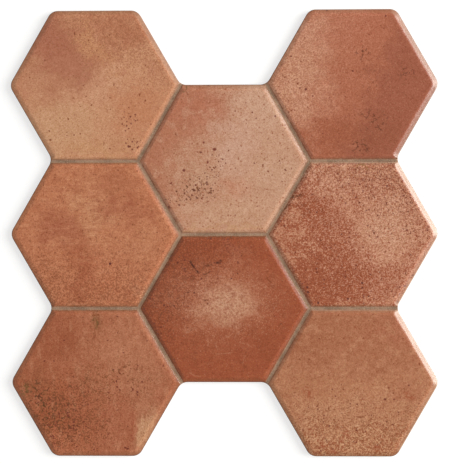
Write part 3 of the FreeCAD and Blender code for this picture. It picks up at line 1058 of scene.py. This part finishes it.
    f.dots(
        DARK, 0.9, (-47, -5, 1.9), (-62, 28, 1.3), (-40, -12, 1.2), (-53, -4, 1.2), (0, 13, 1.4),
        (-26, 74, 1.6), (33, 68, 1.5),
    )
    f.dots((66, 46, 34), 0.95, (-43, 77, 2.2), (-47, 72, 1.8), (-50, 67, 1.5))
    made["R1"] = f.finish(1.15, 0.24)

    f = Field("R2", (188, 130, 101))
    each(
        f.patch, ((191, 141, 112), 0.9, 35, 2, 26, 30, 0, 0.7, 0.6),
        ((196, 141, 115), 0.7, -40, 52, 34, 14, 0), ((190, 135, 105), 0.7, 84, 34, 58),
        ((184, 122, 91), 0.6, -90, 0, 70),
    )
    red = f.ramp(f.noise(f.grainy, 11, 4, 0.6), 0.4, 0.62, 0, 0.9)
    for x, y, rx, ry, turn, share in (
        (-30, 20, 26, 15, -35, 1.1), (-12, -8, 46, 17, -46, 1), (-26, -48, 34, 26, 0, 1.15),
        (26, -48, 36, 18, 14, 0.95), (-46, 44, 7, 16, -20, 0.5), (60, -22, 7, 16, 30, 0.4),
        (-44, -16, 14, 16, 0, 0.4),
    ):
        red = f.fit(f.spot(x, y, rx, ry, turn, 0.5, 0.6), share, red)
    crowd = f.times(red, f.ramp(f.spot(34, 2, 28, 33, 0, 0.3, 0.6), 0, 1, 1, 0.1))
    each(
        f.flecks, (2.3, 0.55, (154, 82, 56), 0.85, f.math("MINIMUM", crowd, 1.5), 6),
        (1.4, 0.56, (140, 70, 45), 0.55, f.times(crowd, 0.5), 2),
        (1.3, 0.58, (212, 158, 130), 0.5, (30, -70, 20), 1),
        (1.4, 0.63, (116, 56, 30), 0.6, (60, 0, 70), 3),
    )
    each(
        f.specks, (3.4, 1, 0.2, (108, 50, 24), 0.9, (70, -10, 54), 4),
        (2.4, 0.9, 0.2, (112, 62, 37), 0.7, (20, 0, 50), 5),
        (3.6, 1, 0.24, (110, 52, 28), 0.85, 1, 8),
        (5, 1.3, 0.4, (92, 46, 26), 0.9, (-90, 50, 66), 6),
    )
    f.squiggles(5, 0.05, (118, 64, 40), 0.7, (-64, 30, 16, 14, 0, 0.7, 0.5), 6)
    each(
        f.stroke, (-58, 37, 14, 1.5, 8, (96, 58, 38), 0.85, 0.15),
        (-68, 26, 9, 1.5, 40, (100, 60, 38), 0.85, 0.2), (-64, 38, 6, 1.8, 60, (80, 50, 36), 0.85, 0.1),
        (10, 69, 14, 1.2, -15, (150, 112, 66), 0.7, -0.3),
    )
    f.dots(
        DARK, 0.95, (52, -53, 1.6), (36, 74, 2), (-4, 50, 1.4), (-15, 60, 1.3), (16, 36, 1.2),
        (16, 24, 1.2), (15, 8, 1.2),
    )
    made["R2"] = f.finish(1.85, 0.6)

    f = Field("R3", (184, 128, 95))
    each(
        f.patch, ((168, 107, 78), 0.9, 90, -12, 30), ((163, 102, 73), 0.6, -50, 44, 22, 18),
        ((174, 116, 83), 0.65, -34, -6, 32, 18), ((182, 126, 93), 0.5, 20, 0, 44, 8),
        ((192, 139, 105), 0.75, -4, -36, 52, 20), ((205, 154, 117), 0.9, -10, -60, 60, 18),
        ((174, 109, 82), 0.6, 40, 54, 24, 14), ((170, 108, 80), 0.6, 56, -8, 14, 10),
    )
    each(
        f.mottle, (11, 0.5, 0.65, (192, 138, 104), 0.45, 1, 2),
        (8, 0.52, 0.67, (162, 100, 72), 0.4, (90, -40, 40), 6),
        (3.2, 0.51, 0.62, (184, 122, 90), 0.35, 1, 21, 3),
        (3.6, 0.52, 0.63, (154, 92, 62), 0.35, 1, 27, 3),
        (5, 0.54, 0.66, (160, 98, 70), 0.25, (-90, 0, 60), 15),
    )
    each(
        f.flecks, (1.5, 0.645, (126, 72, 43), 0.6, (-90, -20, 60), 1),
        (1.3, 0.6, (140, 82, 52), 0.5, 0, 2), (2, 0.645, (146, 72, 42), 0.65, (-90, 10, 70), 9),
    )
    f.squiggles(3.6, 0.04, (128, 72, 43), 0.4, (-80, 10, 60), 14)
    each(
        f.specks, (2.6, 1, 0.26, (136, 74, 46), 0.7, (-80, 0, 60), 4),
        (4.5, 1.4, 0.28, (144, 74, 48), 0.7, (-90, 40, 70), 7), (5, 1, 0.26, UMBER, 0.85, 1, 5),
        (3, 0.9, 0.26, DARK, 0.8, (-90, -10, 50), 12),
    )
    f.stroke(8, -35, 12, 1.1, 8, UMBER, 0.8, 0.15)
    f.dots(
        DARK, 0.95, (32, -17, 2), (41, -17, 1.4), (-24, -44, 1.2), (4, -22, 1.2), (-21, -7, 1.2),
        (56, -3, 1.2),
    )
    for x, y, reach in (
        (-31, -64, 4), (-7, -51, 4.5), (-12, -58, 3.5), (24, -66, 4), (-20, -71, 5), (56, -14, 6),
        (-46, -10, 6),
    ):
        f.mottle(2.6, 0.42, 0.56, (150, 74, 48), 0.7, (x, y, reach, 0.7 * reach, 9 * x, 0.6, 0), x, 3)
    made["R3"] = f.finish(1.35, 0.5)
    return [made[name] for name in FIELD_NAMES]


def body_material():
    """The unglazed fired body on the side and the back."""
    s = Shader("biscuit")
    cloud = s.noise(s.mm, 34.0, 4.0, 0.6)
    grain = s.noise(s.mm, 0.7, 3.0, 0.7)
    colour = s.mix(s.ramp(cloud, 0.35, 0.65), srgb(176, 122, 94), srgb(192, 142, 112))
    distance, pick, _ = s.cells(s.mm, 2.6)
    pore = s.times(s.ramp(distance, 0.26, 0.12), s.math("LESS_THAN", pick, 0.3))
    colour = s.mix(s.times(pore, 0.6), colour, srgb(120, 76, 56))
    height = s.math("SUBTRACT", s.fit(cloud, 2.0, grain), s.times(pore, 1.2))
    return s.surface({
        "Base Color": s.scaled(colour, s.fit(grain, 0.3, 0.85)),
        "Roughness": s.fit(grain, 0.1, 0.78),
        "Normal": s.bump(height, 0.12),
    })


def grout_material():
    """Sandy cement grout, grey-brown, with lighter and darker grains, stained beside the fields."""
    s = Shader("sandy_grout")
    cloud = s.noise(s.mm, 16.0, 4.0, 0.6)
    grain = s.noise(s.mm, 1.0, 3.0, 0.7)
    colour = s.mix(s.ramp(cloud, 0.35, 0.65), srgb(131, 105, 84), srgb(160, 129, 105))
    distance, pick, _ = s.cells(s.mm, 1.15)
    inside = s.ramp(distance, 0.45, 0.2)
    light = s.times(inside, s.math("GREATER_THAN", pick, 0.72))
    dark = s.times(inside, s.math("LESS_THAN", pick, 0.25))
    stain = s.ramp(s.fit(cloud, 0.8, s.attribute("joint_mm")), 0.9, 1.9)
    for mask, share, tone in (
        (stain, 0.34, (166, 103, 72)), (light, 0.5, (192, 163, 136)), (dark, 0.6, (88, 67, 51)),
    ):
        colour = s.mix(s.times(mask, share), colour, srgb(*tone))
    return s.surface({
        "Base Color": s.grain(colour, grain, 1.3),
        "Roughness": 0.92,
        "Specular IOR Level": 0.3,
        "Normal": s.bump(s.math("ADD", grain, s.times(light, 0.6)), 0.2),
    })


def white_ground():
    """A pale floor that keeps shadows, and looks plain white to the camera."""
    s = Shader("ground")
    path = s.node("LightPath")
    seen = s.math("MAXIMUM", path.outputs["Is Camera Ray"], path.outputs["Is Glossy Ray"])
    seen = s.math("MAXIMUM", seen, path.outputs["Is Transmission Ray"])
    return s.surface({
        "Base Color": s.mix(seen, (0.8, 0.8, 0.8, 1.0), (0.38, 0.38, 0.38, 1.0)),
        "Roughness": 1.0,
        "Specular IOR Level": 0.0,
        "Emission Color": (1.0, 1.0, 1.0, 1.0),
        "Emission Strength": s.times(seen, 0.7),
    })


def bake_map(obj, top_count, side_count):
    """A UV map that gives the face most of the room, with the side and the back beside it."""
    low_corner = (-215, -225)
    face_corner, face_scale = (0.012, 0.012), 1.78 / 1000
    back_corner, back_scale = (0.8, 0.01), 0.19 / 430
    strips, strips_x, strips_y, strips_width, strip_step, row_height = 20, 0.805, 0.24, 0.185, 0.036, 0.007
    mesh = obj.data
    layer = mesh.uv_layers.new(name="OFBake")
    co = np.empty(len(mesh.vertices) * 3)
    mesh.vertices.foreach_get("co", co)
    co = co.reshape(-1, 3)[:, :2] * 1000 - low_corner
    uv = np.zeros((len(mesh.loops), 2))
    for polygon in mesh.polygons:
        p = co[[mesh.loops[i].vertex_index for i in polygon.loop_indices]]
        if polygon.index < top_count:
            uv[list(polygon.loop_indices)] = face_corner + p * face_scale
        elif polygon.index >= top_count + side_count:
            uv[list(polygon.loop_indices)] = back_corner + p * back_scale
    row_length = side_count // SIDE_ROWS
    strip_length = math.ceil(row_length / strips)
    width = strips_width / strip_length
    for row in range(SIDE_ROWS):
        for k in range(row_length):
            polygon = mesh.polygons[top_count + row * row_length + k]
            strip, along = divmod(k, strip_length)
            x = strips_x + along * width
            y = strips_y + strip * strip_step + (SIDE_ROWS - 1 - row) * row_height
            corners = ((x, y + row_height), (x, y), (x + width, y), (x + width, y + row_height))
            uv[list(polygon.loop_indices)] = corners
    layer.data.foreach_set("uv", uv.ravel())


def keep_distances(mesh, name, distance):
    """Keeps millimetres at the mesh's points, for its materials. Points past the list get none."""
    values = np.zeros(len(mesh.vertices))
    values[: len(distance)] = np.minimum(distance, 99.0)
    mesh.attributes.new(name, "FLOAT", "POINT").data.foreach_set("value", values)


def build():
    plate, edge_mm, joint_mm, top_count, side_count = plate_mesh()
    mesh = plate.data
    for material in [*field_materials(), body_material()]:
        mesh.materials.append(material)
    on_face = np.arange(len(mesh.polygons)) < top_count
    fields = field_of(np.array([p.center[:2] for p in mesh.polygons]) * 1000)
    index = np.where(on_face, fields, len(CENTRES))
    mesh.polygons.foreach_set("material_index", index.astype(np.int32))
    mesh.polygons.foreach_set("use_smooth", on_face)
    keep_distances(mesh, "edge_mm", edge_mm)
    keep_distances(mesh, "joint_mm", joint_mm)
    bake_map(plate, top_count, side_count)
    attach(plate, "root")
    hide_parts("tile_plate")

    grout = grout_mesh()
    mesh = grout.data
    mesh.materials.append(grout_material())
    mesh.polygons.foreach_set("use_smooth", np.ones(len(mesh.polygons), bool))
    keep_distances(mesh, "joint_mm", joint_distance(np.array([v.co[:2] for v in mesh.vertices]) * 1000))
    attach(grout, "root")
    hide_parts("joint_grout")


def set_stage():
    """A wide floor just under the plate, a pale sky, and one large soft lamp on the right."""
    corners = [(3000 * u, 3000 * v, -0.2) for u, v in ((-1, -1), (1, -1), (1, 1), (-1, 1))]
    floor = make_object("floor", corners, [(0, 1, 2, 3)])
    floor.data.materials.append(white_ground())

    world = bpy.data.worlds.new("studio")
    bpy.context.scene.world = world
    world.use_nodes = True
    sky = world.node_tree.nodes["Background"]
    sky.inputs["Color"].default_value = (1.0, 0.985, 0.97, 1.0)
    sky.inputs["Strength"].default_value = 0.27

    lamp = bpy.data.lights.new("softbox", "AREA")
    lamp.shape = "RECTANGLE"
    lamp.size = 3.5
    lamp.size_y = 6.1
    lamp.energy = 585.0
    lamp.color = (1.0, 0.99, 0.975)
    box = bpy.data.objects.new("softbox", lamp)
    zenith, azimuth, away = math.radians(55.7), math.radians(7.9), 6.0
    box.location = (
        away * math.sin(zenith) * math.cos(azimuth),
        away * math.sin(zenith) * math.sin(azimuth),
        away * math.cos(zenith),
    )
    box.rotation_euler = (-Vector(box.location)).to_track_quat("-Z", "Y").to_euler()
    bpy.context.scene.collection.objects.link(box)


def set_camera():
    """Almost straight down from 2 m, a little to the right of the plate's middle."""
    data = bpy.data.cameras.new("camera")
    data.sensor_fit = "HORIZONTAL"
    data.sensor_width = 36.0
    data.lens = 158.22
    data.clip_end = 20.0
    camera = bpy.data.objects.new("camera", data)
    place = Vector((0.07127, 0.0515, 2.0))
    ahead = (Vector((0.001215, 0.001713, 0.009)) - place).normalized()
    right = ahead.cross(Vector((0.0, 1.0, 0.0))).normalized()
    turn = Matrix((right, right.cross(ahead), -ahead)).transposed() @ Matrix.Rotation(-0.00279, 3, "Z")
    camera.matrix_world = Matrix.Translation(place) @ turn.to_4x4()
    bpy.context.scene.collection.objects.link(camera)
    bpy.context.scene.camera = camera
    bpy.context.scene.view_settings.view_transform = "Standard"


build()
set_stage()
set_camera()
